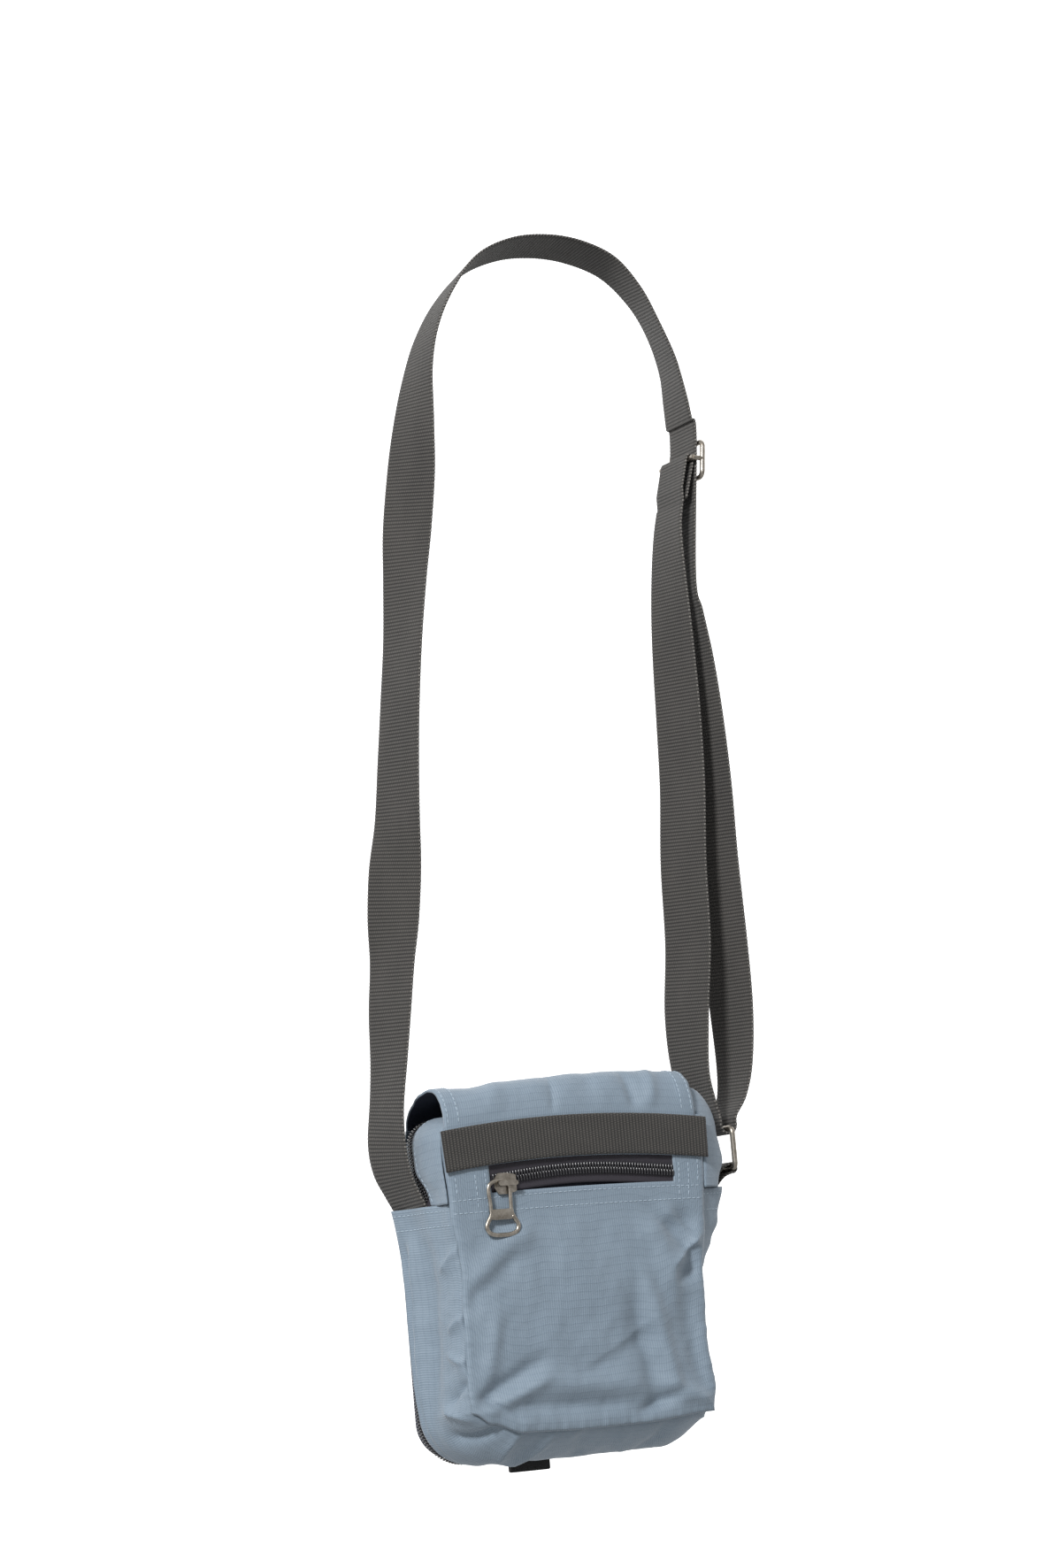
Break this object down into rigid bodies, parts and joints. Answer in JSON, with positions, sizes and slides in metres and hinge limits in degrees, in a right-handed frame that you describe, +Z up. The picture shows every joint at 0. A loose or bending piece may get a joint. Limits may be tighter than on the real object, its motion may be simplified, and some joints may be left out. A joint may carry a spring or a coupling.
{
  "type": "shoulder bag",
  "caption": "Small flap-over shoulder bag with a zipped rear pocket, zip-closed mouth, expander zip and an adjustable webbing strap.",
  "frame": {"origin": "underside of the strap at its highest point, where it rests on a shoulder or hook", "axes": "+Z up, -Y towards the wearer's side with the zipped pocket, +Y towards the flap's front, +X towards the strap's ring and slide"},
  "size_m": [0.2373, 0.0762, 0.6972],
  "materials": {
    "shell_fabric": "slate-blue ripstop cotton and nylon",
    "webbing": "charcoal ribbed webbing",
    "zip_tape": "black coil zip",
    "lining": "dark navy lining",
    "hook_and_loop": "black hook and loop tape and webbing",
    "antique_metal": "antique nickel"
  },
  "bodies": {
    "root": {"back_pocket_panel": "shell_fabric", "back_yoke": "shell_fabric", "back_zip_upper_tape": "zip_tape", "back_zip_lower_tape": "zip_tape", "pocket_lining": "lining", "webbing_strip": "webbing", "gusset": "shell_fabric", "side_zip_inner_tape": "zip_tape", "side_zip_outer_tape": "zip_tape", "front_band": "shell_fabric", "front_panel": "shell_fabric", "front_slope": "shell_fabric", "expander_gusset": "lining", "loop_pad": "hook_and_loop", "left_ear": "shell_fabric", "right_ear": "shell_fabric", "cuff_front": "shell_fabric", "main_zip_front_tape": "zip_tape", "main_zip_rear_left": "zip_tape", "main_zip_rear_right": "zip_tape", "ring_tab": "webbing", "shoulder_strap": "webbing", "strap_return": "webbing"},
    "flap_crown_body": {"flap_crown": "shell_fabric"},
    "flap_drop_body": {"flap_drop": "shell_fabric", "hook_pad": "hook_and_loop", "flap_pull_tab": "hook_and_loop"},
    "mouth": {"mouth_strip": "shell_fabric", "mouth_zip_tape": "zip_tape"},
    "back_slider": {"back_zip_slider": "antique_metal"},
    "back_pull": {"back_zip_pull": "antique_metal"},
    "main_slider": {"main_zip_slider": "antique_metal"},
    "main_pull": {"main_zip_pull": "antique_metal"},
    "side_slider": {"side_zip_slider": "antique_metal"},
    "side_pull": {"side_zip_pull": "antique_metal"},
    "ring": {"strap_ring": "antique_metal"},
    "slide": {"slide_frame": "antique_metal", "strap_end_loop": "webbing"}
  },
  "joints": [
    {"name": "flap_open", "type": "hinge", "parent": "root", "child": "flap_crown_body", "pos_m": [-0.047, -0.034, -0.505], "axis": [1, 0, 0], "range_deg": [0, 72]},
    {"name": "flap_fold", "type": "hinge", "parent": "flap_crown_body", "child": "flap_drop_body", "pos_m": [-0.047, 0.013, -0.5046], "axis": [1, 0, 0], "range_deg": [0, 54]},
    {"name": "mouth_open", "type": "hinge", "parent": "root", "child": "mouth", "pos_m": [-0.047, -0.031, -0.5024], "axis": [1, 0, 0], "range_deg": [0, 72]},
    {"name": "back_zip_slide", "type": "slide", "parent": "root", "child": "back_slider", "axis": [1, 0, 0], "range_m": [0, 0.099]},
    {"name": "back_pull_swing", "type": "hinge", "parent": "back_slider", "child": "back_pull", "pos_m": [-0.0976, -0.0362, -0.537], "axis": [0, 1, 0], "range_deg": [-24, 50]},
    {"name": "main_zip_slide", "type": "slide", "parent": "root", "child": "main_slider", "axis": [-1, 0, 0], "range_m": [0, 0.128]},
    {"name": "main_pull_lift", "type": "hinge", "parent": "main_slider", "child": "main_pull", "pos_m": [0.0172, 0.0024, -0.4986], "axis": [0, -1, 0], "range_deg": [0, 20]},
    {"name": "side_zip_slide", "type": "slide", "parent": "root", "child": "side_slider", "axis": [0, 0, -1], "range_m": [0, 0.078]},
    {"name": "side_pull_lift", "type": "hinge", "parent": "side_slider", "child": "side_pull", "pos_m": [0.0395, 0.0231, -0.57], "axis": [0, -1, 0], "range_deg": [0, 150]},
    {"name": "ring_swing", "type": "hinge", "parent": "root", "child": "ring", "pos_m": [0.0635, 0, -0.5355], "axis": [0, 1, 0], "range_deg": [-6, 6]},
    {"name": "slide_adjust", "type": "slide", "parent": "root", "child": "slide", "axis": [-0.1115, 0, -0.9938], "range_m": [0, 0.055], "deforming": ["strap_return"]}
  ],
  "couplings": [
    {"joint": "flap_fold", "follows": "flap_open", "ratio": 0.75},
    {"joint": "mouth_open", "follows": "flap_open", "ratio": 1}
  ]
}
